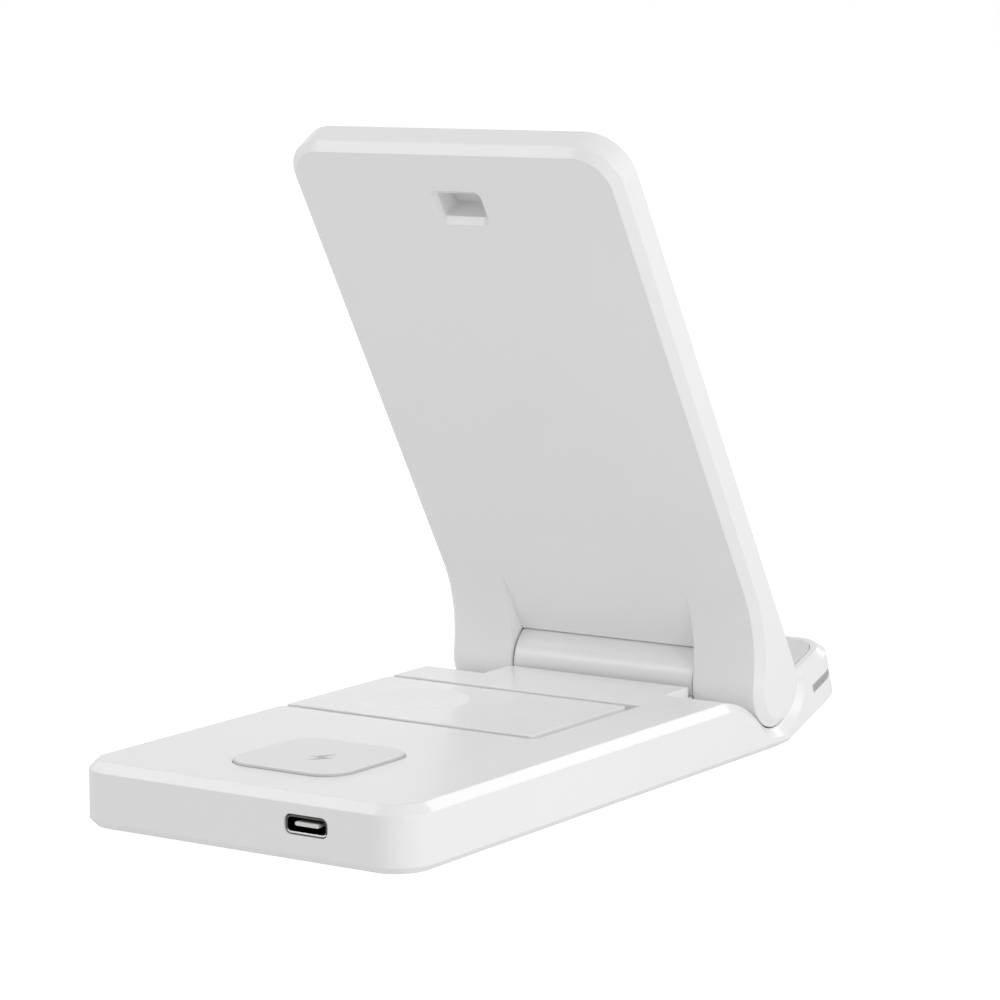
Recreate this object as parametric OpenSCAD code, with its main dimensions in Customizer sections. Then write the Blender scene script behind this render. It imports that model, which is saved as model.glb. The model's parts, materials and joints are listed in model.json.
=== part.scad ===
// Foldable wireless charging station: a flat base with an upturned phone lip, a phone panel that
// folds down on it, and a watch charger in a drawer that slides out of the base's side.
// The lip is at the front (-Y), the USB-C inlet at the rear (+Y), and the feet stand on z = 0.

/* [Base] */
// Width of the base and of the phone panel
body_w = 75; // [73:0.5:82]
// Height of the base above its underside
base_h = 12.1; // [12:0.1:13.5]
// Distance from the rear face to the fold axis
rear_to_axis = 129.5; // [129:0.5:138]
// Radius of the rear corners, seen from above
rear_corner_r = 7.7; // [6:0.1:11]
// Bevel round the upper edges
edge_bevel = 1.7; // [1:0.1:2.2]
// Bevel round the underside
under_bevel = 1.2; // [0.6:0.1:1.6]
// Wall of the plastic shells
wall_t = 2; // [1.6:0.1:2.4]
// Thickness of the bottom cover
cover_t = 1.8; // [1.6:0.1:2]
// Gap between a cover and the rim that it sits in
cover_gap = 0.15; // [0.1:0.05:0.3]

/* [Lip] */
// Upward slope of the lip
lip_angle = 19; // [14:1:22]
// Length of the lip along its slope
lip_l = 23.9; // [23:0.1:28]
// Thickness of the lip
lip_t = 11.8; // [11.4:0.1:12.4]
// Radius of the lip's front corners
lip_corner_r = 7; // [5:0.5:9]
// Distance from the fold axis forward to the bend of the underside
lip_bend = 4.4; // [3.6:0.2:6]
// Radius that rounds the bend of the underside
bend_r = 37; // [25:1:45]
// Inset of the soft pad from the lip's edges
lip_pad_inset = 3.2; // [2.8:0.1:4.5]
// How far the soft pads stand out of their seats
pad_proud = 0.3; // [0.2:0.05:0.5]
// Height of the light strip in the lip's edge
light_h = 1.6; // [1:0.1:2]
// Length of lip side that the light strip runs back along
light_run = 12.2; // [9:0.2:13]

/* [Phone panel] */
// Slope of the panel as it stands
panel_angle = 59; // [50:1:65]
// Length of the panel from the fold axis to its top edge
panel_l = 127.3; // [124:0.1:128.5]
// Thickness of the panel, which is also the radius of its ears
panel_t = 8.3; // [8:0.1:9]
// Radius of the panel's top corners
panel_corner_r = 8.6; // [7:0.1:12]
// Radius of the hollow curve from the panel's back to an ear
swell_r = 28; // [22:1:32]
// Width, length and depth of the pocket in the back
pocket_w = 12; // [9:0.5:15]
pocket_l = 7.7; // [6:0.1:10]
pocket_depth = 6; // [4:0.2:6]
// Bevel round the pocket's mouth
pocket_bevel = 1.25; // [0.8:0.05:1.6]
// Distance from the fold axis to the pocket's centre
pocket_at = 113.7; // [110:0.1:116]
// Radius of the soft phone pad on the front
phone_pad_r = 30; // [28.5:0.5:31]
// Distance from the fold axis to the charging coil's centre
coil_at = 70; // [64:1:74]

/* [Fold hinge] */
// Radius of the hinge barrel
barrel_r = 7.8; // [7.2:0.1:8]
// Length of the hinge barrel and width of the tongue behind it
barrel_l = 43; // [40:0.5:46]
// Gap between the tongue's end and the barrel
tongue_gap = 1.5; // [0.8:0.1:2]
// Clearance all round the turning ears, and under the closed panel
fold_gap = 0.3; // [0.25:0.05:0.4]
// Clearance between the ears and the barrel's ends
side_gap = 0.4; // [0.3:0.05:0.6]
// Radius of the hinge shafts
shaft_r = 2.5; // [2:0.1:3]
// Radial clearance of a shaft in its friction bush
shaft_play = 0.05; // [0.02:0.01:0.09]

/* [Watch drawer] */
// Width of the drawer, along the base
drawer_w = 33.9; // [32:0.1:34.4]
// Length of the drawer, from the base's side face inward
drawer_l = 58.6; // [56:0.1:59.5]
// Distance from the rear face to the drawer's centre line
drawer_at = 80.25; // [79:0.25:82]
// Gap round the drawer
drawer_gap = 2.1; // [1.5:0.1:2.3]
// Small bevel along both sides of that gap
gap_bevel = 0.15; // [0.1:0.05:0.4]
// Radius of the drawer's inner corners
drawer_corner_r = 0.6; // [0.5:0.1:1.2]
// How far the drawer slides out
drawer_travel = 40; // [30:1:40]
// Diameter and depth of the round dish for the watch
dish_d = 22.5; // [20:0.5:25]
dish_depth = 1.1; // [0.8:0.1:1.3]
// Distance from the base's side face to the dish's centre
dish_at = 19.8; // [18:0.2:22]

/* [Earbud pad] */
// Width, length and corner radius of the pad
bud_w = 25.7; // [22:0.1:28]
bud_l = 25.8; // [22:0.1:28]
bud_corner_r = 5.8; // [5:0.1:9]
// How far the pad stands above the base
bud_rise = 0.6; // [0.4:0.05:0.6]
// Distance from the rear face to the pad's centre, and its offset to one side
bud_at = 25.9; // [22:0.1:28]
bud_x = 0.5; // [-2:0.1:2]

/* [USB-C inlet] */
// Width, height and corner radius of the receptacle's metal shell
port_w = 8.95; // [8.9:0.05:9.2]
port_h = 3.2; // [3.2:0.05:3.4]
port_corner_r = 1.1; // [0.8:0.1:1.5]
// Position of the inlet's centre across the base and above the underside
port_x = -15.7; // [-17:0.1:17]
port_z = 6.6; // [6.4:0.1:6.9]

/* [Feet] */
// Radius of the feet, and how far they stand out
foot_r = 5; // [4:0.5:6]
foot_rise = 0.6; // [0.4:0.1:1]

/* [Hidden] */
$fn = 72;

half_w = body_w / 2;
// The fold axis lies on the panel's back face, a fold gap above the base
axis_z = base_h + fold_gap;
ear_r = panel_t;
barrel_half = barrel_l / 2;
ear_in = barrel_half + side_gap;
room_r = barrel_r + fold_gap;
swell_reach = sqrt(ear_r * ear_r + 2 * ear_r * swell_r);
bend_d = rear_to_axis + lip_bend;
body_l = bend_d + lip_l * cos(lip_angle) - under_bevel * sin(lip_angle);
rear_y = body_l / 2;
// Allowance by which a cut runs past the face that it opens
past = 1;
// Excess of a rounding's radius, so that its surface crosses the flat one beside it
blend = 0.01;
// Length by which joined solids overlap
lap = 0.5;
// Radial clearance round parts that are pressed, glued or screwed in place
seat_gap = 0.02;

chamber_top = base_h - wall_t;
inner_wall_t = 1.75;
lip_wall_top = lip_t - wall_t;

// The drawer's well
well_x = half_w - drawer_l - drawer_gap;
well_rear = drawer_at - drawer_w / 2 - drawer_gap;
well_front = drawer_at + drawer_w / 2 + drawer_gap;
well_floor_t = 0.8;
well_z = cover_t + well_floor_t;
drawer_lift = 0.3;
drawer_z = well_z + drawer_lift;
split_z = drawer_z + 4.6;
drawer_wall = 1.6;
dish_x = half_w - dish_at;
dish_floor = base_h - dish_depth - 1.3;

// Rails that hold the drawer, and the lugs and blocks that stop it
rail_h = 1.4;
rail_z = drawer_z + 2.1;
rail_reach = 0.8;
slide_play = 0.3;
lug_l = 3;
lug_h = 1.2;
lug_reach = drawer_gap - 0.4;
lug_x = half_w - drawer_l;
block_x = lug_x + lug_l + drawer_travel + 0.1;

// Screws
screw_r = 1;
head_r = 1.9;
head_t = 0.55;
head_seat = 0.6;
boss_r = 2.6;
screw_l = 6;
screw_x = half_w - 9;
screw_rear = 34;
screw_front = (well_front + inner_wall_t + bend_d - lip_bend - swell_reach + 5.8) / 2;
barrel_screw_x = 13;
barrel_screw_l = 6.2;

// Feet
foot_seat = 0.6;
foot_x = half_w - 9;
foot_rear = 14;
foot_front = rear_to_axis - 7.5;

// Coils, boards and magnets
coil_t = 1.2;
ferrite_t = 0.9;
board_t = 1;
board_z = port_z - port_h / 2 - board_t;
bud_flange = 1.1;
bud_flange_t = 1;
bud_coil_z = chamber_top - bud_flange_t - coil_t;
weight_z = cover_t + 0.2;
weight_t = 1.4;
cable_r = 0.9;
cable_z = cover_t + 1.05;
panel_cavity_from = 14;
panel_lower_edge = 5.5;
front_cover_z = panel_t - cover_t;
ledge = 1.2;
magnet_in_r = 23.5;
magnet_out_r = 27.5;
magnet_count = 16;

// Hinge
shaft_in = 3;
shaft_out = half_w - 7;
bush_l = 12.5;
bush_r = 4.6;
disc_t = 0.6;
disc_count = 4;
nut_t = 2.2;
hollow_r = cable_r + 0.2;

left = 1;
right = -1;

// Base frame: origin on the underside at the rear face, with the front along -Y
module on_base() { translate([0, rear_y, foot_rise]) children(); }
module on_lip() { on_base() translate([0, -bend_d, 0]) rotate([-lip_angle, 0, 0]) children(); }
module on_axis() { on_base() translate([0, -rear_to_axis, axis_z]) children(); }
// Panel frame: Y along the panel from the fold axis, Z from its back face to its front
module on_panel() { on_axis() rotate([panel_angle, 0, 0]) children(); }

// One corner of an outline, bevelled between the directions a and b
function bevel(p, a, b, c) = c > 0 ? [p + c * a, p + c * b] : [p];
// Rotated place of a point of the lip's side profile in the base frame
function lip_point(s, n) = [-(bend_d + s * cos(lip_angle) - n * sin(lip_angle)),
                            s * sin(lip_angle) + n * cos(lip_angle)];
function bend_point(n) = [-(bend_d - n * tan(lip_angle / 2)), n];

module x_rod(x0, x1, r) { translate([x0, 0, 0]) rotate([0, 90, 0]) cylinder(h = x1 - x0, r = r); }
module x_cone(x0, x1, r0, r1) { translate([x0, 0, 0]) rotate([0, 90, 0]) cylinder(h = x1 - x0, r1 = r0, r2 = r1); }
module both_sides() { children(); mirror([1, 0, 0]) children(); }
module box(x, y, z) { translate([x[0], y[0], z[0]]) cube([x[1] - x[0], y[1] - y[0], z[1] - z[0]]); }

// Slab from y = 0 to y = -l on z = 0, with round corners and bevelled long edges
module slab_section(w, h, low, top) {
    polygon(concat(bevel([-w / 2, 0], [0, 1], [1, 0], low), bevel([w / 2, 0], [-1, 0], [0, 1], low),
                   bevel([w / 2, h], [0, -1], [-1, 0], top), bevel([-w / 2, h], [1, 0], [0, -1], top)));
}
module corner_post(r, h, low, top) {
    rotate_extrude() polygon(concat([[0, 0]], bevel([r, 0], [-1, 0], [0, 1], low),
                                    bevel([r, h], [0, -1], [-1, 0], top), [[0, h]]));
}
module slab_end(w, h, r, low, top) {
    translate([r - w / 2, 0, 0]) rotate([90, 0, 90]) linear_extrude(w - 2 * r)
        polygon(concat([[-r - lap, 0]], bevel([0, 0], [-1, 0], [0, 1], low),
                       bevel([0, h], [0, -1], [-1, 0], top), [[-r - lap, h]]));
    for (side = [-1, 1]) translate([side * (w / 2 - r), -r, 0]) corner_post(r, h, low, top);
}
// Its outline seen from above
module plan(w, l, r_back, r_front) {
    translate([-w / 2, r_front - l]) square([w, l - r_back - r_front]);
    for (end = [[-r_back, r_back, -r_back - lap], [r_front - l, r_front, -l]]) if (end[1] > 0) {
        translate([end[1] - w / 2, end[2]]) square([w - 2 * end[1], end[1] + lap]);
        for (side = [-1, 1]) translate([side * (w / 2 - end[1]), end[0]]) circle(r = end[1]);
    }
}
module soft_slab(w, l, h, r_back, r_front, low, top) {
    if (low == 0 && top == 0) linear_extrude(h) plan(w, l, r_back, r_front);
    else {
        translate([0, -r_back, 0]) rotate([90, 0, 0]) linear_extrude(l - r_back - r_front)
            slab_section(w, h, low, top);
        if (r_back > 0) slab_end(w, h, r_back, low, top);
        if (r_front > 0) translate([0, -l, 0]) mirror([0, 1, 0]) slab_end(w, h, r_front, low, top);
    }
}

// The base's outside: a flat slab and, from the bend, the lip
module base_outside() {
    on_base() soft_slab(body_w, bend_d, base_h, rear_corner_r, 0, under_bevel, edge_bevel);
    on_lip() soft_slab(body_w, lip_l, lip_t, 0, lip_corner_r, under_bevel, edge_bevel);
}
// The same outline set inward, between two heights over the underside
module base_inside(inset, low, high) {
    w = body_w - 2 * inset;
    reach = bend_r * tan(lip_angle / 2) + past;
    flat_l = bend_d - inset - reach;
    on_base() translate([0, -inset, low]) soft_slab(w, flat_l, high - low, rear_corner_r - inset, 0, 0, 0);
    on_base() translate([-w / 2, 0, 0]) rotate([90, 0, 90]) linear_extrude(w)
        polygon([[reach + lap - bend_d, low], bend_point(low), lip_point(reach + lap, low),
                 lip_point(reach + lap, high), bend_point(high), [reach + lap - bend_d, high]]);
    on_lip() translate([0, -reach, low])
        soft_slab(w, lip_l - inset - reach, high - low, 0, lip_corner_r - inset, 0, 0);
}
// What rounding takes off along the bend of the underside and, with below, all that lies under it
module bend_rounding(below = false) {
    reach = bend_r * tan(lip_angle / 2);
    centre = [reach - bend_d, bend_r];
    near = below ? [[-bend_d, -3 * past], [past, -3 * past], [past, 0]] : [[-bend_d, -past], [reach - bend_d, -past]];
    far = below ? [lip_point(lip_l + past, 0), lip_point(lip_l + past, -3 * past)] : [lip_point(reach, -past)];
    on_base() difference() {
        translate([-half_w - past, 0, 0]) rotate([90, 0, 90]) linear_extrude(body_w + 2 * past)
            polygon(concat(near, [[reach - bend_d, 0], centre, lip_point(reach, 0)], far));
        translate([0, centre[0], centre[1]]) x_rod(-half_w - 2 * past, half_w + 2 * past, bend_r + blend);
    }
}

// An ear seen from the side: a round end about the fold axis that runs into a flat face by a
// hollow curve. It spans x0 to x1, and its edge at x1 is bevelled, or flared where c is negative.
module ear_form(r, hollow_r, x0, x1, c, top) {
    flat = x1 - abs(c);
    reach = sqrt(r * r + 2 * r * hollow_r);
    centre = [reach, -hollow_r];
    touch = centre * r / (r + hollow_r);
    x_rod(x0, flat, r);
    x_cone(flat, x1, r, r - c);
    difference() {
        translate([x0, 0, 0]) rotate([90, 0, 90]) linear_extrude(x1 - x0)
            polygon([[0, top], [0, 0], touch, centre, [reach, top]]);
        translate([0, centre[0], centre[1]]) {
            x_rod(x0 - past, flat, hollow_r);
            x_cone(flat, x1 + abs(c), hollow_r, hollow_r + 2 * c);
        }
    }
}

// Room for one ear in the base, from the tongue's side out through the base's side face
module ear_notch() {
    r = ear_r + fold_gap;
    flare = edge_bevel + past + 0.05;
    out = half_w + past;
    ear_form(r, swell_r - fold_gap, barrel_half, out, -flare, past);
    translate([0, 0, -0.5]) linear_extrude(base_h)
        polygon([[barrel_half, past], [barrel_half, -r], [out - flare, -r], [out, -r - flare], [out, past]]);
}
// Trough for the barrel, between the tongue's end and the lip
module barrel_trough() {
    x_rod(-barrel_half - past / 2, barrel_half + past / 2, room_r);
    box([-barrel_half, barrel_half], [-ear_r - fold_gap, barrel_r + tongue_gap], [-2.5, base_h]);
}

module base_chambers() {
    intersection() {
        base_inside(wall_t, cover_t - lap, chamber_top);
        on_base() {
            box([-half_w, half_w], [inner_wall_t - well_rear, past], [0, base_h]);
            box([-half_w, well_x - inner_wall_t], [-well_front - inner_wall_t - past, inner_wall_t + past - well_rear], [0, base_h]);
            box([-half_w, half_w], [swell_reach - 5.8 - rear_to_axis, -well_front - inner_wall_t], [0, base_h]);
            box([inner_wall_t - barrel_half, barrel_half - inner_wall_t],
                [barrel_r + tongue_gap + inner_wall_t - rear_to_axis, -well_front - inner_wall_t], [0, base_h]);
        }
    }
    on_lip() translate([0, -lip_chamber_from, cover_t - lap])
        soft_slab(body_w - 2 * wall_t, lip_l - wall_t - lip_chamber_from, lip_wall_top - cover_t - lip_pad_seat + lap,
                  0, lip_corner_r - wall_t, 0, 0);
}
lip_pad_seat = 0.6;
lip_top_from = (lip_t * sin(lip_angle) + ear_r + fold_gap - lip_bend) / cos(lip_angle);
lip_chamber_from = lip_top_from + 1.2;

module drawer_well() {
    w = drawer_w + 2 * drawer_gap;
    r = drawer_corner_r + 0.4;
    l = half_w - well_x + past + r;
    on_base() translate([well_x, -drawer_at, 0]) rotate([0, 0, 90]) {
        translate([0, 0, well_z]) soft_slab(w, l, base_h, r, 0, 0, 0);
        translate([0, gap_bevel, base_h - gap_bevel])
            soft_slab(w + 2 * gap_bevel, l, base_h, r + gap_bevel, 0, gap_bevel, 0);
    }
}
module drawer_rails() {
    reach = drawer_gap + rail_reach;
    on_base() for (edge = [[-well_rear - reach, -well_rear], [-well_front, reach - well_front]])
        box([lug_x + 1, half_w - 2.5], edge, [rail_z, rail_z + rail_h]);
    on_base() for (edge = [[-well_rear - lug_reach, -well_rear], [-well_front, lug_reach - well_front]])
        box([block_x, block_x + lug_l], edge, [well_z, drawer_z + 0.1 + lug_h]);
    on_base() for (y = [-drawer_at - drawer_w / 4, -drawer_at + drawer_w / 4])
        box([well_x, lug_x - 0.1], [y - 2, y + 2], [well_z, rail_z]);
}

module port_outline(grow) {
    w = port_w / 2 + grow;
    h = port_h / 2 + grow;
    r = port_corner_r + grow;
    square([2 * w, 2 * (h - r)], center = true);
    square([2 * (w - r), 2 * h], center = true);
    for (x = [r - w, w - r], y = [r - h, h - r]) translate([x, y]) circle(r = r, $fn = 32);
}
module port_prism(grow, from, to) {
    on_base() translate([port_x, -from, port_z]) rotate([90, 0, 0]) linear_extrude(to - from) port_outline(grow);
}

module bud_slab(grow, low, high, top) {
    on_base() translate([bud_x, -bud_at + bud_l / 2 + grow, low])
        soft_slab(bud_w + 2 * grow, bud_l + 2 * grow, high - low, bud_corner_r + grow, bud_corner_r + grow, 0, top);
}

module lip_pad_slab(grow, low, high) {
    from = lip_top_from + 1.4 - grow;
    r = lip_corner_r - lip_pad_inset + grow;
    on_lip() translate([0, -from, low])
        soft_slab(body_w - 2 * lip_pad_inset + 2 * grow, lip_l - lip_pad_inset + grow - from, high - low, 0, r, 0, 0);
}

// The light strip wraps the lip's front a little above half its thickness
light_z = lip_t / 2 + 0.3;
module light_band(outer, inner, h) {
    from = lip_l - light_run;
    on_lip() difference() {
        translate([0, -from, light_z - h / 2])
            soft_slab(body_w - 2 * outer, lip_l - outer - from, h, 0, lip_corner_r - outer, 0, 0);
        translate([0, past - from, light_z - h / 2 - past])
            soft_slab(body_w - 2 * inner, lip_l - inner - from + past, h + 2 * past, 0, lip_corner_r - inner, 0, 0);
        box([-half_w - 2 * past, half_w + 2 * past], [-from, lip_corner_r + past], [light_z - h, light_z + h]);
    }
}

// Places of the screws that hold the bottom cover
screw_places = [[-screw_x, screw_rear], [screw_x, screw_rear], [-screw_x, screw_front], [screw_x, screw_front]];
module at_screws() { on_base() for (p = screw_places) translate([p[0], -p[1], 0]) children(); }
module at_barrel_screws() {
    on_base() for (x = [-barrel_screw_x, barrel_screw_x]) translate([x, -rear_to_axis, 0]) children();
}
module screw(l) {
    translate([0, 0, head_seat + head_t]) cylinder(h = l, r = screw_r, $fn = 32);
    translate([0, 0, head_seat]) difference() {
        cylinder(h = head_t, r = head_r, $fn = 32);
        for (turn = [0, 90]) rotate([0, 0, turn]) cube([2, 0.5, 0.6], center = true);
    }
}

module base_housing() {
    color("whitesmoke") difference() {
        union() {
            difference() {
                base_outside();
                base_chambers();
                drawer_well();
            }
            drawer_rails();
            at_screws() translate([0, 0, cover_t]) cylinder(h = chamber_top - cover_t + 0.5, r = boss_r, $fn = 32);
        }
        base_inside(wall_t, -past, cover_t);
        bend_rounding();
        on_axis() { both_sides() ear_notch(); barrel_trough(); }
        at_screws() cylinder(h = head_seat + head_t + screw_l + 0.3, r = screw_r + seat_gap, $fn = 32);
        at_barrel_screws() cylinder(h = axis_z, r = screw_r + seat_gap, $fn = 32);
        bud_slab(pad_gap, chamber_top - past, base_h + past, 0);
        lip_pad_slab(pad_gap, lip_t - lip_pad_seat, lip_t + past);
        light_band(-past, wall_t + 0.5, light_h + 0.1);
        port_prism(port_gap, -past, wall_t + past);
        cable_channel();
    }
}
pad_gap = 0.1;

// Channel under the trough, and the hole up into the barrel, for the cable to the panel
module cable_channel() {
    on_base() {
        box([-1.3, 1.3], [-rear_to_axis - 1.5, barrel_r + tongue_gap + inner_wall_t + past - rear_to_axis],
            [cover_t - past, cover_t + 2.1]);
        translate([0, -rear_to_axis, 0]) cylinder(h = axis_z, r = cable_r + 0.3, $fn = 32);
    }
}

module bottom_cover() {
    color("gainsboro") difference() {
        base_inside(wall_t + cover_gap, -past, cover_t);
        bend_rounding(below = true);
        at_screws() cover_screw_hole();
        at_barrel_screws() cover_screw_hole();
        for (y = [foot_rear, foot_front]) on_base() for (x = [-foot_x, foot_x])
            translate([x, -y, -past]) cylinder(h = past + foot_seat, r = foot_r + pad_gap, $fn = 48);
    }
}
module cover_screw_hole() {
    translate([0, 0, -past]) {
        cylinder(h = cover_t + 2 * past, r = screw_r + 0.1, $fn = 32);
        cylinder(h = past + head_seat + head_t, r = head_r + 0.2, $fn = 32);
    }
}
module foot(side, from_rear) {
    color("dimgray") translate([side * foot_x, rear_y - from_rear, 0])
        rotate_extrude($fn = 48) polygon([[0, 0], [foot_r - 0.3, 0], [foot_r, 0.3],
                                          [foot_r, foot_rise + foot_seat], [0, foot_rise + foot_seat]]);
}
module foot_rear_left() { foot(left, foot_rear); }
module foot_rear_right() { foot(right, foot_rear); }
module foot_front_left() { foot(left, foot_front); }
module foot_front_right() { foot(right, foot_front); }

// A plain bolt sign, cut shallow into the earbud pad
bolt_cut = 0.3;
bolt_half = [[1.3, 4.2], [-2.7, -0.55], [-0.25, -0.3]];
module bolt_sign() {
    linear_extrude(bolt_cut + past) polygon(concat(bolt_half, -bolt_half));
}
module earbud_pad() {
    color("white") difference() {
        union() {
            bud_slab(0, chamber_top, base_h + bud_rise, 0.45);
            bud_slab(bud_flange, chamber_top - bud_flange_t, chamber_top, 0);
        }
        on_base() translate([bud_x - 1.35, 1.4 - bud_at, base_h + bud_rise - bolt_cut]) bolt_sign();
    }
}
module lip_pad() { color("lightgray") lip_pad_slab(0, lip_t - lip_pad_seat, lip_t + pad_proud); }

light_depth = 2.4;
light_sink = 0.1;
module light_strip() { color("gray") light_band(light_sink, light_sink + light_depth, light_h); }
module light_board() {
    color("darkgreen") on_lip() box([-half_w + 9, half_w - 9], [light_face, light_face + 0.6], [light_z - 2, light_z + 2]);
}
light_face = light_sink + light_depth + 0.8 - lip_l;
module light_chips() {
    color("khaki") on_lip() for (x = [-3:3])
        box([x * 8 - 1, x * 8 + 1], [light_face - 0.8, light_face], [light_z - 0.6, light_z + 0.6]);
}

port_face = 0.3;
port_gap = 0.25;
port_depth = 7.4;
port_wall = 0.3;
tongue_t = 0.74;
module usb_c_shell() {
    color("silver") difference() {
        port_prism(0, port_face, port_face + port_depth);
        port_prism(-port_wall, port_face - past, port_face + port_depth - 0.8);
    }
}
module usb_c_tongue() {
    color("gainsboro") on_base() translate([port_x, -port_face - 0.1, port_z + 0.15]) rotate([90, 0, 0])
        linear_extrude(port_depth - 1.1) {
            square([5.2 - tongue_t, tongue_t], center = true);
            for (x = [-1, 1]) translate([x * (5.2 - tongue_t) / 2, 0]) circle(d = tongue_t, $fn = 32);
        }
}
module main_board() {
    color("darkgreen") on_base() difference() {
        box([-screw_x + boss_r + 0.6, screw_x - boss_r - 0.6], [-bud_at - bud_l / 2 - 4, -wall_t - 0.4], [board_z, board_z + board_t]);
        translate([screw_x - boss_r - 4, -wall_t - 5, board_z - past]) cylinder(h = 3 * past, r = 1.2, $fn = 32);
    }
}
module power_parts() {
    color("dimgray") on_base() translate([0, -wall_t - 12, board_z + board_t]) {
        box([0, 6], [-3, 3], [0, 0.9]);
        box([10, 15], [-2.5, 2.5], [0, 0.9]);
        box([-20, -14], [-16, -10], [0, 1.1]);
        box([-8, -5], [-6, -4.4], [0, 0.8]);
        for (x = [-4, 20]) translate([x, 5, 0]) cylinder(h = 1.6, r = 2.4, $fn = 32);
    }
}
module weight_plate() {
    color("slategray") on_base()
        box([-screw_x + boss_r + 1.2, screw_x - boss_r - 1.2], [-well_rear + inner_wall_t + 3, -5], [weight_z, weight_z + weight_t]);
}
module ring(low, high, r_in, r_out) {
    rotate_extrude() polygon([[r_in, low], [r_out, low], [r_out, high], [r_in, high]]);
}
module earbud_coil() {
    color("chocolate") on_base() translate([bud_x, -bud_at, bud_coil_z]) ring(0, coil_t, 4, 11);
}
module earbud_ferrite() {
    color("dimgray") on_base() translate([bud_x, -bud_at, bud_coil_z - ferrite_t]) cylinder(h = ferrite_t, r = 12);
}
module hinge_barrel() {
    color("whitesmoke") on_axis() difference() {
        union() {
            x_rod(-barrel_half, barrel_half, barrel_r);
            for (x = [-barrel_screw_x, barrel_screw_x])
                box([x - 2.5, x + 2.5], [-2.5, 2.5], [-room_r + 0.45, -barrel_r / 2]);
        }
        x_rod(-barrel_half - past, barrel_half + past, bush_r + seat_gap);
        translate([0, 0, -axis_z]) {
            cylinder(h = axis_z, r = cable_r + 0.3, $fn = 32);
            for (x = [-barrel_screw_x, barrel_screw_x])
                translate([x, 0, 0]) cylinder(h = axis_z - bush_r - 0.4, r = screw_r + seat_gap, $fn = 32);
        }
    }
}
module friction_bush(side) {
    color("silver") on_axis() mirror([side == right ? 1 : 0, 0, 0]) difference() {
        x_rod(barrel_half - bush_l, barrel_half, bush_r);
        x_rod(barrel_half - bush_l - past, barrel_half + past, shaft_r + shaft_play);
    }
}
module friction_bush_left() { friction_bush(left); }
module friction_bush_right() { friction_bush(right); }

// A lead of round wire through a list of points
module wire(points, r) {
    for (i = [0:len(points) - 2]) {
        run = points[i + 1] - points[i];
        flat = norm([run[0], run[1]]);
        translate(points[i]) rotate([0, atan2(flat, run[2]), atan2(run[1], run[0])]) cylinder(h = norm(run), r = r, $fn = 24);
        if (i > 0) translate(points[i]) sphere(r = r, $fn = 24);
    }
}
module base_cable() {
    side_x = (well_x - inner_wall_t - half_w + wall_t) / 2;
    front_y = -well_front - inner_wall_t - 1.3;
    rear_end = -well_rear + inner_wall_t + 2.5;
    color("black") on_base()
        wire([[0, -rear_to_axis, axis_z], [0, -rear_to_axis, cable_z], [0, front_y, cable_z], [side_x, front_y, cable_z],
              [side_x, rear_end, cable_z], [side_x + 4, rear_end, cable_z]], cable_r);
}
module base_screws() { color("silver") at_screws() screw(screw_l); }
module barrel_screws() { color("silver") at_barrel_screws() screw(barrel_screw_l); }

// The panel's outside, with the ears and the room for the barrel
module panel_outside() {
    difference() {
        union() {
            translate([0, panel_l, 0]) soft_slab(body_w, panel_l, panel_t, panel_corner_r, 0, edge_bevel, edge_bevel);
            both_sides() ear_form(ear_r, swell_r, ear_in, half_w, edge_bevel, panel_t / 2);
        }
        x_rod(-ear_in, ear_in, room_r);
        box([-ear_in, ear_in], [-ear_r - past, panel_lower_edge], [-ear_r - past, panel_t + past]);
    }
}
// Slab from a distance above the axis up to the top edge, set inward
module panel_slab(inset, from, low, high) {
    translate([0, panel_l - inset, low])
        soft_slab(body_w - 2 * inset, panel_l - inset - from, high - low, panel_corner_r - inset, 0, 0, 0);
}
module pocket_room(grow, low, high) {
    w = pocket_w - 2 * pocket_bevel + 2 * grow;
    l = pocket_l - 2 * pocket_bevel + 2 * grow;
    translate([0, pocket_at + l / 2, low]) soft_slab(w, l, high - low, pocket_inner_r + grow, pocket_inner_r + grow, 0, 0);
}
pocket_inner_r = 0.6;
module panel_back_shell() {
    color("whitesmoke") on_panel() difference() {
        panel_outside();
        difference() {
            panel_slab(wall_t + ledge, panel_cavity_from, wall_t, panel_t + past);
            pocket_room(1.4, 0, front_cover_z);
        }
        panel_slab(wall_t, panel_cavity_from - ledge, front_cover_z, panel_t + past);
        pocket_room(0, -past, pocket_depth);
        translate([0, pocket_at + pocket_l / 2, -0.001])
            soft_slab(pocket_w, pocket_l, pocket_bevel, pocket_inner_r + pocket_bevel, pocket_inner_r + pocket_bevel, 0, pocket_bevel);
        x_rod(-shaft_out - 0.3, past - ear_in, shaft_r + seat_gap);
        x_rod(ear_in - past, cable_turn_x + cable_r + 0.5, shaft_r + seat_gap);
        translate([cable_turn_x, 0, 0]) rotate([cable_rise - 90, 0, 0]) cylinder(h = cable_run, r = cable_r + 0.3, $fn = 32);
    }
}
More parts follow.
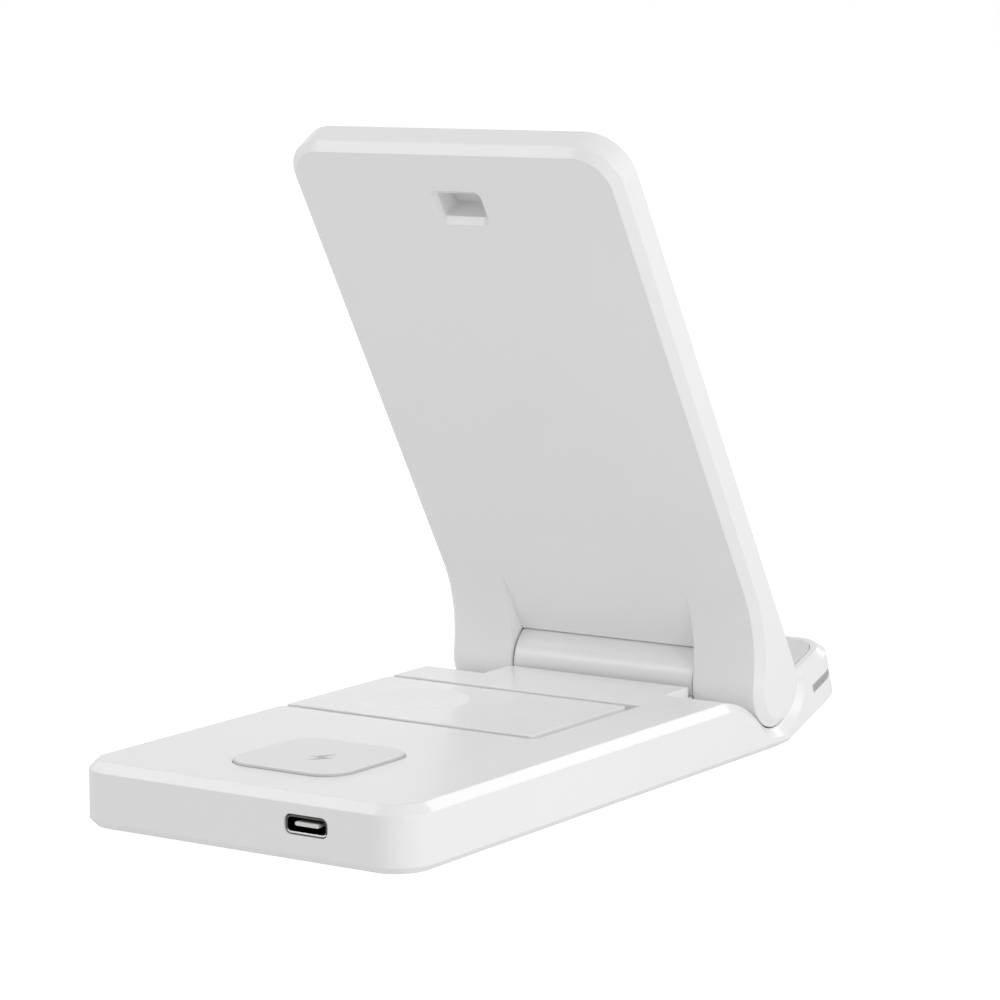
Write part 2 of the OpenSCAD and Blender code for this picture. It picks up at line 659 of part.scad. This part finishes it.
// The cable leaves the hollow shaft's end and climbs into the panel
cable_turn_x = shaft_out + cable_r + 0.3;
cable_rise = 14;
cable_run = 18;
module panel_front_cover() {
    color("white") on_panel() difference() {
        panel_slab(wall_t + cover_gap, panel_cavity_from - ledge + cover_gap, front_cover_z, panel_t);
        translate([0, coil_at, panel_t - phone_pad_seat]) cylinder(h = past + phone_pad_seat, r = phone_pad_r + pad_gap);
    }
}
phone_pad_seat = 0.5;
module phone_pad() {
    color("lightgray") on_panel() translate([0, coil_at, panel_t - phone_pad_seat])
        cylinder(h = phone_pad_seat + pad_proud, r = phone_pad_r);
}
module phone_coil() {
    color("chocolate") on_panel() translate([0, coil_at, front_cover_z - coil_t]) ring(0, coil_t, 8, 22);
}
module phone_ferrite() {
    color("dimgray") on_panel() translate([0, coil_at, front_cover_z - coil_t - ferrite_t])
        cylinder(h = ferrite_t, r = 22.5);
}
module magnet_ring() {
    color("silver") on_panel() translate([0, coil_at, front_cover_z - coil_t - ferrite_t])
        for (i = [0:magnet_count - 1]) rotate([0, 0, (i + 0.5) * 360 / magnet_count])
            rotate_extrude(angle = 360 / magnet_count - 3) polygon([[magnet_in_r, 0], [magnet_out_r, 0],
                [magnet_out_r, coil_t + ferrite_t], [magnet_in_r, coil_t + ferrite_t]]);
}
module panel_board() {
    color("darkgreen") on_panel() box([-16, 16], [panel_cavity_from + 4, panel_cavity_from + 20], [wall_t, wall_t + board_t]);
}

module hinge_shaft(side, bore) {
    color("silver") on_axis() mirror([side == right ? 1 : 0, 0, 0]) difference() {
        x_rod(shaft_in, shaft_out, shaft_r);
        if (bore > 0) x_rod(shaft_in - past, shaft_out + past, bore);
    }
}
// The left shaft is hollow, for the cable
module hinge_shaft_left() { hinge_shaft(left, hollow_r); }
module hinge_shaft_right() { hinge_shaft(right, 0); }
module friction_discs(side) {
    from = barrel_half - bush_l - 0.15;
    color("dimgray") on_axis() mirror([side == right ? 1 : 0, 0, 0]) for (i = [1:disc_count]) difference() {
        x_rod(from - i * (disc_t + 0.1), from - i * (disc_t + 0.1) + disc_t, bush_r - 0.3);
        x_rod(0, from, shaft_r + seat_gap);
    }
}
module friction_discs_left() { friction_discs(left); }
module friction_discs_right() { friction_discs(right); }
module shaft_nut(side) {
    from = barrel_half - bush_l - 0.25 - disc_count * (disc_t + 0.1);
    color("silver") on_axis() mirror([side == right ? 1 : 0, 0, 0]) difference() {
        translate([from - nut_t, 0, 0]) rotate([0, 90, 0]) cylinder(h = nut_t, r = bush_r - 0.4, $fn = 6);
        x_rod(0, from + past, shaft_r + seat_gap);
    }
}
module shaft_nut_left() { shaft_nut(left); }
module shaft_nut_right() { shaft_nut(right); }
module hinge_cable() {
    color("black") on_panel() {
        x_rod(cable_r + 0.2, cable_turn_x, cable_r);
        translate([cable_turn_x, 0, 0]) {
            sphere(r = cable_r, $fn = 24);
            rotate([cable_rise - 90, 0, 0]) cylinder(h = cable_run, r = cable_r, $fn = 24);
        }
    }
}

// The drawer's outer end is part of the base's side face, so its upper edge has the same bevel
module drawer_block(low, high, top) {
    intersection() {
        on_base() translate([half_w - drawer_l, -drawer_at, low]) rotate([0, 0, 90])
            soft_slab(drawer_w, drawer_l + drawer_corner_r, high - low, drawer_corner_r, 0, 0, top);
        base_outside();
    }
}
module drawer_top() {
    sphere_r = (dish_d * dish_d / 4 + dish_depth * dish_depth) / (2 * dish_depth);
    color("white") difference() {
        drawer_block(split_z, base_h, gap_bevel);
        on_base() {
            box([half_w - drawer_l + drawer_wall, half_w - drawer_wall],
                [-drawer_at - drawer_w / 2 + drawer_wall, -drawer_at + drawer_w / 2 - drawer_wall],
                [split_z - past, dish_floor]);
            translate([dish_x, -drawer_at, base_h - dish_depth + sphere_r]) sphere(r = sphere_r, $fn = 144);
        }
    }
}
module drawer_tray() {
    inner = drawer_w / 2 - rail_reach - slide_play - drawer_wall;
    color("gainsboro") difference() {
        union() {
            drawer_block(drawer_z, split_z, 0);
            on_base() for (edge = [[drawer_w / 2 - 1, drawer_w / 2 + lug_reach], [-drawer_w / 2 - lug_reach, 1 - drawer_w / 2]])
                translate([0, -drawer_at, 0]) box([lug_x + drawer_corner_r, lug_x + lug_l], edge, [drawer_z, drawer_z + lug_h]);
        }
        on_base() translate([0, -drawer_at, 0]) {
            difference() {
                box([half_w - drawer_l + drawer_wall, half_w - drawer_wall], [-inner, inner], [drawer_z + 1.2, split_z + past]);
                for (x = drawer_screw_x) translate([x, 0, 0]) cylinder(h = split_z, r = 2, $fn = 32);
            }
            for (side = [-1, 1]) {
                slot = drawer_w / 2 - rail_reach - slide_play;
                box([lug_x - past, half_w - 2.2], side > 0 ? [slot, drawer_w] : [-drawer_w, -slot],
                    [rail_z - slide_play, rail_z + rail_h + slide_play]);
            }
            for (x = drawer_screw_x) translate([x, 0, 0]) cylinder(h = base_h, r = screw_r + seat_gap, $fn = 32);
        }
    }
}
drawer_screw_x = [lug_x + 5, half_w - 4.6];
module watch_part(low, high, r_in, r_out) {
    on_base() translate([dish_x, -drawer_at, 0]) ring(low, high, r_in, r_out);
}
module watch_coil() { color("chocolate") watch_part(dish_floor - coil_t, dish_floor, 4, 10); }
module watch_ferrite() { color("dimgray") watch_part(dish_floor - coil_t - ferrite_t, dish_floor - coil_t, 3.6, 10.5); }
module watch_magnet() {
    color("silver") on_base() translate([dish_x, -drawer_at, dish_floor - coil_t - ferrite_t])
        cylinder(h = coil_t + ferrite_t, r = 3.3);
}
module drawer_board() {
    color("darkgreen") on_base() box([lug_x + 8, dish_x - 6], [-drawer_at - 10, -drawer_at + 10],
                                     [drawer_z + 1.2, drawer_z + 1.2 + board_t]);
}
module drawer_screws() {
    color("silver") on_base() for (x = drawer_screw_x) translate([x, -drawer_at, drawer_z + 0.2]) {
        cylinder(h = split_z - drawer_z - 0.4, r = screw_r, $fn = 32);
    }
}

base_housing();
bottom_cover();
earbud_pad();
lip_pad();
light_strip();
light_board();
light_chips();
usb_c_shell();
usb_c_tongue();
main_board();
power_parts();
weight_plate();
earbud_coil();
earbud_ferrite();
hinge_barrel();
friction_bush_left();
friction_bush_right();
base_cable();
base_screws();
barrel_screws();
foot_rear_left();
foot_rear_right();
foot_front_left();
foot_front_right();
panel_back_shell();
panel_front_cover();
phone_pad();
phone_coil();
phone_ferrite();
magnet_ring();
panel_board();
hinge_shaft_left();
hinge_shaft_right();
friction_discs_left();
friction_discs_right();
shaft_nut_left();
shaft_nut_right();
hinge_cable();
drawer_top();
drawer_tray();
watch_coil();
watch_ferrite();
watch_magnet();
drawer_board();
drawer_screws();
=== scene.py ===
import json
import math

import bmesh
import bpy
from mathutils import Matrix, Vector

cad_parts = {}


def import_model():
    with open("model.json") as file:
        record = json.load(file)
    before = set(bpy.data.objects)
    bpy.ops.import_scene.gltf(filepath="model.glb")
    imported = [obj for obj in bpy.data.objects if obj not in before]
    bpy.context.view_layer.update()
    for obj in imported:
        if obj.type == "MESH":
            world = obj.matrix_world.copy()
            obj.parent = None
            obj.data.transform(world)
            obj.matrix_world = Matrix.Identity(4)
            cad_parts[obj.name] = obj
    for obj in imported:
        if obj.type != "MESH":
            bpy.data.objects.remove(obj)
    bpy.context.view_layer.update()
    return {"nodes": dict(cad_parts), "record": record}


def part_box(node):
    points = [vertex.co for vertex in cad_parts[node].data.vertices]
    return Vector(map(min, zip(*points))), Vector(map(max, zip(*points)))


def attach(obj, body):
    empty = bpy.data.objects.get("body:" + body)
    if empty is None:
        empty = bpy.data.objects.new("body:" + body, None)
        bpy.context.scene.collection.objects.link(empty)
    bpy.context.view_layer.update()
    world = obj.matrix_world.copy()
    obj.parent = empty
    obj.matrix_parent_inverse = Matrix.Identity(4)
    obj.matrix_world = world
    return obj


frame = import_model()
MM = 0.001


# Materials
class Nodes:
    """A material's node tree, with short calls to add and join nodes."""

    def __init__(self, name):
        self.material = bpy.data.materials.new(name)
        self.material.use_nodes = True
        self.tree = self.material.node_tree
        self.tree.nodes.clear()
        self.shader = self.add("ShaderNodeBsdfPrincipled")
        output = self.add("ShaderNodeOutputMaterial")
        self.join(self.shader, "BSDF", output, "Surface")
        self.place = self.add("ShaderNodeTexCoord")

    def add(self, kind, **values):
        """Add a node and set its properties and inputs, with _ for a space in an input's name."""
        node = self.tree.nodes.new(kind)
        for key, value in values.items():
            if hasattr(node, key):
                setattr(node, key, value)
            else:
                node.inputs[key.replace("_", " ")].default_value = value
        return node

    def join(self, a, out, b, into):
        self.tree.links.new(a.outputs[out], b.inputs[into])

    def set(self, **values):
        """Set the shader's own inputs."""
        for key, value in values.items():
            self.shader.inputs[key.replace("_", " ")].default_value = value

    def noise(self, size_mm, detail):
        """Noise whose blobs are about size_mm across."""
        node = self.add("ShaderNodeTexNoise", Scale=1 / (size_mm * MM), Detail=detail)
        self.join(self.place, "Object", node, "Vector")
        return node

    def split(self):
        """Object coordinates as X, Y and Z."""
        node = self.add("ShaderNodeSeparateXYZ")
        self.join(self.place, "Object", node, "Vector")
        return node

    def between(self, source, out, start, end, low=0.0, high=1.0):
        """A value that runs from start to end, mapped to run from low to high."""
        node = self.add("ShaderNodeMapRange")
        for name, value in (("From Min", start), ("From Max", end), ("To Min", low), ("To Max", high)):
            node.inputs[name].default_value = value
        self.join(source, out, node, "Value")
        return node

    def spread(self, source, low, high):
        """The middle of a 0 to 1 texture, mapped to run from low to high."""
        return self.between(source, 0, 0.35, 0.65, low, high)

    def product(self, a, b):
        """Two values multiplied."""
        node = self.add("ShaderNodeMath", operation="MULTIPLY")
        self.join(a, 0, node, 0)
        self.join(b, 0, node, 1)
        return node

    def roughness(self, source, low, high):
        """Roughness that follows a texture from low to high."""
        self.join(self.spread(source, low, high), "Result", self.shader, "Roughness")

    def tones(self, source, dark, light, start=0.3, end=0.7):
        """Colour that follows a texture from dark to light."""
        ramp = self.add("ShaderNodeValToRGB")
        ramp.color_ramp.elements[0].position = start
        ramp.color_ramp.elements[1].position = end
        ramp.color_ramp.elements[0].color = (*dark, 1)
        ramp.color_ramp.elements[1].color = (*light, 1)
        self.join(source, 0, ramp, "Fac")
        self.join(ramp, "Color", self.shader, "Base Color")

    def relief(self, layers, edge_mm=0.0):
        """Bump from (texture, depth in mm) layers over edges rounded by edge_mm."""
        last = None
        if edge_mm:
            last = self.add("ShaderNodeBevel", samples=8, Radius=edge_mm * MM)
        for source, depth in layers:
            bump = self.add("ShaderNodeBump", Strength=1.0, Distance=depth * MM)
            self.join(source, 0, bump, "Height")
            if last:
                self.join(last, "Normal", bump, "Normal")
            last = bump
        if last:
            self.join(last, "Normal", self.shader, "Normal")


def grey(level, tint=0.0):
    """Linear colour of an sRGB grey from 0 to 255, a little bluer with tint."""
    def linear(v):
        v = max(0.0, min(1.0, v / 255))
        return v / 12.92 if v <= 0.04045 else ((v + 0.055) / 1.055) ** 2.4
    return (linear(level - tint), linear(level - tint / 2), linear(level + tint))


def moulded(name, level, rough, grain_mm, depth_mm, edge_mm, face=None):
    """Moulded plastic with an eroded grain and faint flow clouds. Under the height face it is painted
    greyer, as painted shade.
    """
    tint, wander, painted_shade_drop = 0.3, 0.8, 40
    cloud_mm, wave_mm, gloss_mm = 45, 70, 9
    m = Nodes(name)
    clouds = m.noise(cloud_mm, 1)
    if face is None:
        m.tones(clouds, grey(level - wander, tint), grey(level + wander, tint))
    else:
        # Painted shade: below the height face the colour is painted up to 40 levels darker, for the shade
        # in the gap round a raised face.
        height = m.between(m.split(), "Z", face - 0.25 * MM, face - 0.1 * MM)
        shade = m.product(height, m.spread(clouds, 0.97, 1.0))
        m.tones(shade, grey(level - painted_shade_drop, tint), grey(level, tint), 0.0, 1.0)
    m.roughness(m.noise(gloss_mm, 3), rough - 0.012, rough + 0.012)
    m.relief([(m.noise(grain_mm, 2), depth_mm), (m.noise(wave_mm, 1), depth_mm * 3)], edge_mm)
    m.set(IOR=1.49)
    return m.material


def rubber(name, level, rough=0.75):
    """Soft rubber: a matt skin with fine pores and a trace of bloom."""
    m = Nodes(name)
    m.tones(m.noise(4, 4), grey(level - 2), grey(level + 2))
    m.roughness(m.noise(1.2, 2), rough - 0.05, rough + 0.05)
    m.relief([(m.noise(0.18, 2), 0.012)], 0.15)
    m.set(IOR=1.43, Specular_IOR_Level=0.4, Sheen_Weight=0.08)
    return m.material


def metal(name, dark, light, rough, brush_axis=None):
    """Metal with fine lines along brush_axis, or a plain tumbled grain."""
    line_scale, drawn_out = 4000.0, 0.04
    m = Nodes(name)
    stretch = m.add("ShaderNodeMapping")
    if brush_axis is not None:
        stretch.inputs["Scale"].default_value[brush_axis] = drawn_out
    m.join(m.place, "Object", stretch, "Vector")
    lines = m.add("ShaderNodeTexNoise", Scale=line_scale, Detail=2.0)
    m.join(stretch, "Vector", lines, "Vector")
    m.tones(lines, dark, light)
    m.roughness(lines, rough - 0.06, rough + 0.06)
    m.relief([(lines, 0.004)], 0.06)
    m.set(Metallic=1.0)
    return m.material


def receptacle(name, low, high):
    """Steel shell with painted shade, dark inside and round the rim, and a painted highlight of light
    caught along its lower edge.
    """
    rim_start, rim_end = high.y - 0.5 * MM, high.y - 0.15 * MM
    edge_start, edge_end = low.z + 0.42 * MM, low.z + 0.62 * MM
    highlight_share_above, dark, painted_highlight = 0.16, (0.004, 0.004, 0.004), (0.86, 0.86, 0.86)
    m = Nodes(name)
    split = m.split()
    # Painted highlight and shade: only the front rim's lower edge is painted bright, and the rest of the
    # shell is painted dark as shade.
    rim = m.between(split, "Y", rim_start, rim_end)
    edge = m.between(split, "Z", edge_start, edge_end, 1.0, highlight_share_above)
    grain = m.noise(0.3, 2)
    m.tones(m.product(m.product(rim, edge), m.spread(grain, 0.9, 1.0)), dark, painted_highlight, 0.0, 1.0)
    m.roughness(grain, 0.24, 0.34)
    m.relief([(grain, 0.002)], 0.08)
    m.set(Metallic=1.0)
    return m.material


def winding(name, pitch_mm):
    """Copper wire laid in rings: ridges at the wire's pitch."""
    m = Nodes(name)
    scale = 0.5 / (pitch_mm * MM) / math.pi
    wave = m.add("ShaderNodeTexWave", wave_type="RINGS", rings_direction="Z", Scale=scale)
    m.join(m.place, "Generated", wave, "Vector")
    m.tones(m.noise(0.5, 2), (0.48, 0.17, 0.06), (0.68, 0.29, 0.12))
    m.relief([(wave, 0.08)])
    m.set(Metallic=1.0, Roughness=0.32, Coat_Weight=0.5, Coat_Roughness=0.1)
    return m.material


def board(name):
    """Solder mask with faint copper tracks beneath it."""
    scale = 350.0
    m = Nodes(name)
    tracks = m.add("ShaderNodeTexVoronoi", feature="DISTANCE_TO_EDGE", distance="MANHATTAN", Scale=scale)
    m.join(m.place, "Object", tracks, "Vector")
    m.tones(tracks, (0.01, 0.11, 0.045), (0.006, 0.06, 0.025), 0.04, 0.1)
    m.relief([(tracks, 0.02)], 0.05)
    m.set(Roughness=0.35, Coat_Weight=0.4)
    return m.material


def smoked_guide(name):
    """Smoke-grey light guide with a soft clear skin."""
    m = Nodes(name)
    m.tones(m.noise(3, 3), grey(158), grey(166))
    m.roughness(m.noise(0.8, 2), 0.3, 0.4)
    m.relief([(m.noise(0.25, 2), 0.004)], 0.12)
    m.set(IOR=1.49, Coat_Weight=0.25, Coat_Roughness=0.2)
    return m.material


MATERIALS = {
    "shell_white": moulded("shell_white", 241, 0.24, 0.16, 0.001, 0.3),
    "cover_white": moulded("cover_white", 239, 0.40, 0.2, 0.002, 0.25),
    # pad_white: the pad's sides below its top face carry painted shade.
    "pad_white": moulded("pad_white", 237, 0.42, 0.16, 0.0015, 0.12, face=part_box("earbud_pad")[1].z),
    "soft_grey": rubber("soft_grey", 226),
    "foot_rubber": rubber("foot_rubber", 84),
    "smoked_guide": smoked_guide("smoked_guide"),
    "circuit_board": board("circuit_board"),
    "chip_package": moulded("chip_package", 52, 0.5, 0.1, 0.004, 0.08),
    # port_steel: the inlet's shell carries painted shade and a painted highlight.
    "port_steel": receptacle("port_steel", *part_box("usb_c_shell")),
    "port_tongue": moulded("port_tongue", 226, 0.45, 0.08, 0.002, 0.06),
    "steel": metal("steel", (0.52, 0.52, 0.54), (0.72, 0.72, 0.74), 0.3, 0),
    "copper_wire": winding("copper_wire", 0.5),
    "ferrite": moulded("ferrite", 62, 0.6, 0.1, 0.006, 0.08),
    "magnet_nickel": metal("magnet_nickel", (0.66, 0.65, 0.63), (0.80, 0.79, 0.76), 0.16),
    "cable_jacket": rubber("cable_jacket", 40, 0.6),
}
slot_of = {s["node"]: s["material_slot"] for s in frame["record"]["subparts"]}
for name, node in frame["nodes"].items():
    node.data.materials.clear()
    node.data.materials.append(MATERIALS[slot_of[name]])


# Contacts in the inlet
def usb_c_contacts():
    """Gilt contact strips on both faces of the inlet's tongue."""
    low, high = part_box("usb_c_tongue")
    pitch, width, thick, length = 0.5 * MM, 0.28 * MM, 0.03 * MM, 3.4 * MM
    count = 10
    mid_x = (low.x + high.x) / 2
    setback = 0.5 * MM
    mid_y = high.y - setback - length / 2
    bm = bmesh.new()
    for face in (low.z - thick / 2, high.z + thick / 2):
        for i in range(count):
            strip = bmesh.ops.create_cube(bm, size=1.0)["verts"]
            x = mid_x + (i - (count - 1) / 2) * pitch
            place = Matrix.Translation((x, mid_y, face))
            bmesh.ops.transform(bm, verts=strip, matrix=place @ Matrix.Diagonal((width, length, thick, 1)))
    mesh = bpy.data.meshes.new("usb_c_contacts")
    bm.to_mesh(mesh)
    bm.free()
    piece = bpy.data.objects.new("usb_c_contacts", mesh)
    bpy.context.scene.collection.objects.link(piece)
    mesh.materials.append(metal("gilt_contact", (0.80, 0.55, 0.22), (0.92, 0.68, 0.32), 0.25))
    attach(piece, "base")


usb_c_contacts()


# Floor, camera and light
def floor():
    """White floor that keeps the stand's shadow, and glows more to the camera than as light."""
    mesh = bpy.data.meshes.new("floor")
    half = 6.0
    corners = [(-half, -half, 0), (half, -half, 0), (half, half, 0), (-half, half, 0)]
    mesh.from_pydata(corners, [], [(0, 1, 2, 3)])
    piece = bpy.data.objects.new("floor", mesh)
    bpy.context.scene.collection.objects.link(piece)
    material = bpy.data.materials.new("floor")
    material.use_nodes = True
    tree = material.node_tree
    tree.nodes.clear()
    diffuse = tree.nodes.new("ShaderNodeBsdfDiffuse")
    paint, glow_as_light, glow_to_camera = 0.35, 0.45, 0.9
    diffuse.inputs["Color"].default_value = (paint, paint, paint, 1)
    glow = tree.nodes.new("ShaderNodeEmission")
    path = tree.nodes.new("ShaderNodeLightPath")
    lift = tree.nodes.new("ShaderNodeMapRange")
    lift.inputs["To Min"].default_value = glow_as_light
    lift.inputs["To Max"].default_value = glow_to_camera
    both = tree.nodes.new("ShaderNodeAddShader")
    output = tree.nodes.new("ShaderNodeOutputMaterial")
    tree.links.new(path.outputs["Is Camera Ray"], lift.inputs[0])
    tree.links.new(lift.outputs[0], glow.inputs["Strength"])
    tree.links.new(diffuse.outputs[0], both.inputs[0])
    tree.links.new(glow.outputs[0], both.inputs[1])
    tree.links.new(both.outputs[0], output.inputs["Surface"])
    mesh.materials.append(material)


def world(strength):
    """Even white surroundings: full white to camera and gloss, softer as light."""
    w = bpy.data.worlds.new("studio")
    bpy.context.scene.world = w
    w.use_nodes = True
    tree = w.node_tree
    tree.nodes.clear()
    background = tree.nodes.new("ShaderNodeBackground")
    background.inputs["Color"].default_value = (1, 1, 1, 1)
    path = tree.nodes.new("ShaderNodeLightPath")
    direct = path.outputs["Is Camera Ray"]
    for kind in ("Is Transmission Ray", "Is Glossy Ray"):
        either = tree.nodes.new("ShaderNodeMath")
        either.operation = "MAXIMUM"
        tree.links.new(direct, either.inputs[0])
        tree.links.new(path.outputs[kind], either.inputs[1])
        direct = either.outputs[0]
    level = tree.nodes.new("ShaderNodeMapRange")
    level.inputs["To Min"].default_value = strength
    level.inputs["To Max"].default_value = 1.0
    output = tree.nodes.new("ShaderNodeOutputWorld")
    tree.links.new(direct, level.inputs["Value"])
    tree.links.new(level.outputs["Result"], background.inputs["Strength"])
    tree.links.new(background.outputs[0], output.inputs["Surface"])


def softbox(name, place, aim, size, power):
    """Rectangular lamp of a size in metres and a power in watts, turned to face aim."""
    light = bpy.data.lights.new(name, "AREA")
    light.shape = "RECTANGLE"
    light.size, light.size_y = size
    light.energy = power
    lamp = bpy.data.objects.new(name, light)
    bpy.context.scene.collection.objects.link(lamp)
    lamp.location = place
    lamp.rotation_euler = (Vector(aim) - Vector(place)).to_track_quat("-Z", "Y").to_euler()


def camera():
    """The photograph's viewpoint: turn about Z, dip below level and roll, in degrees."""
    yaw, pitch, roll = math.radians(33.80), math.radians(8.092), math.radians(-0.168)
    place = Vector((-0.38292, 0.56546, 0.15112))
    ahead = Vector((math.sin(yaw) * math.cos(pitch), -math.cos(yaw) * math.cos(pitch), -math.sin(pitch)))
    side = ahead.cross(Vector((0, 0, 1))).normalized()
    over = side.cross(ahead)
    right = math.cos(roll) * side + math.sin(roll) * over
    up = -math.sin(roll) * side + math.cos(roll) * over
    data = bpy.data.cameras.new("camera")
    data.sensor_width = 36
    data.lens = 128.93
    data.clip_start, data.clip_end = 0.01, 50
    cam = bpy.data.objects.new("camera", data)
    bpy.context.scene.collection.objects.link(cam)
    turn = Matrix((right, up, -ahead)).transposed().to_4x4()
    cam.matrix_world = Matrix.Translation(place) @ turn
    bpy.context.scene.camera = cam


floor()
world(0.43)

# Top, back and front lamps are mirrored in the chamfers, and the strip in the rear corner
middle = (0, 0, 0.05)
top_corner = (0, 0.01, 0.12)
rear_corner = (0, 0.05, 0.01)
softbox("key", (-1.12, 0.10, 0.575), middle, (0.9, 0.7), 6.0)
softbox("fill", (1.09, 0.06, 0.61), middle, (0.8, 0.5), 1.4)
softbox("top", (0.70, 0.25, 0.92), middle, (0.5, 0.5), 1.9)
softbox("back", (0.68, 0.93, 0.49), top_corner, (0.45, 0.3), 1.4)
softbox("front", (-0.26, -1.04, 0.70), middle, (0.5, 0.35), 1.4)
softbox("strip", (-0.85, 0.50, 0.11), rear_corner, (0.10, 0.20), 0.75)
camera()
bpy.context.scene.view_settings.view_transform = "Standard"
